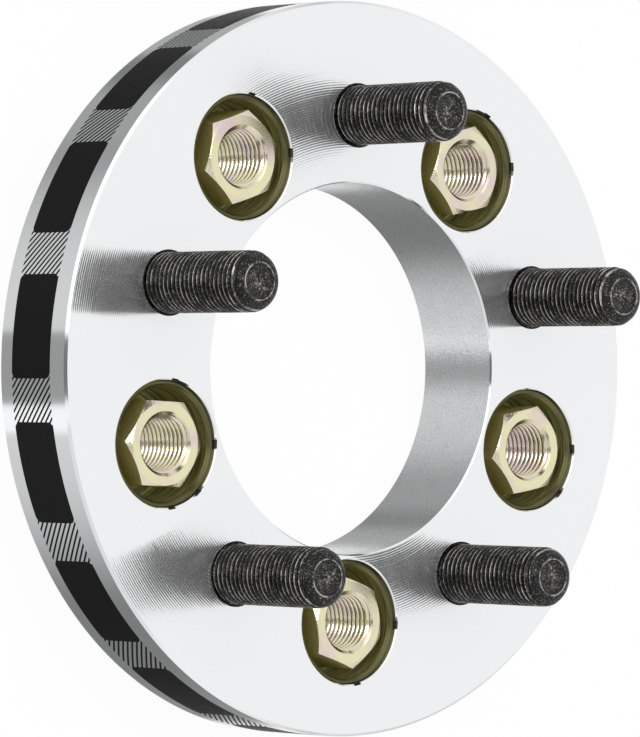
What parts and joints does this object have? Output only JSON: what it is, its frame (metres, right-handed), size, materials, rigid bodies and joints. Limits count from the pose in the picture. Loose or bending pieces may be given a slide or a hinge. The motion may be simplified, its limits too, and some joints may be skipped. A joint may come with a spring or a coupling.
{
  "type": "wheel spacer",
  "caption": "Bolt-on wheel spacer: turned aluminium ring with pressed wheel studs, and tapered lug nuts in steel-lined pockets that hold it to the hub.",
  "frame": {"origin": "centre of the bore on the back face, the face that lies against the hub", "axes": "+Z along the bore's axis from the hub towards the wheel, the way the studs stand; +Y towards the first stud"},
  "size_m": [0.1452, 0.1452, 0.047],
  "materials": {
    "turned_aluminium": "fine turned, satin bright",
    "rim_ink": "black printed ink, semi-gloss",
    "black_oxide_steel": "black oxide, oiled, worn crests",
    "yellow_zinc_steel": "pale yellow zinc with an iridescent film",
    "olive_chromate_steel": "olive chromate, fine turned"
  },
  "bodies": {
    "root": {"spacer_disc": "turned_aluminium", "rim_print": "rim_ink", "stud_1": "black_oxide_steel", "stud_2": "black_oxide_steel", "stud_3": "black_oxide_steel", "stud_4": "black_oxide_steel", "stud_5": "black_oxide_steel", "seat_sleeve_1": "olive_chromate_steel", "seat_sleeve_2": "olive_chromate_steel", "seat_sleeve_3": "olive_chromate_steel", "seat_sleeve_4": "olive_chromate_steel", "seat_sleeve_5": "olive_chromate_steel", "lug_nut_1": "yellow_zinc_steel", "lug_nut_2": "yellow_zinc_steel", "lug_nut_3": "yellow_zinc_steel", "lug_nut_4": "yellow_zinc_steel", "lug_nut_5": "yellow_zinc_steel"}
  },
  "joints": []
}
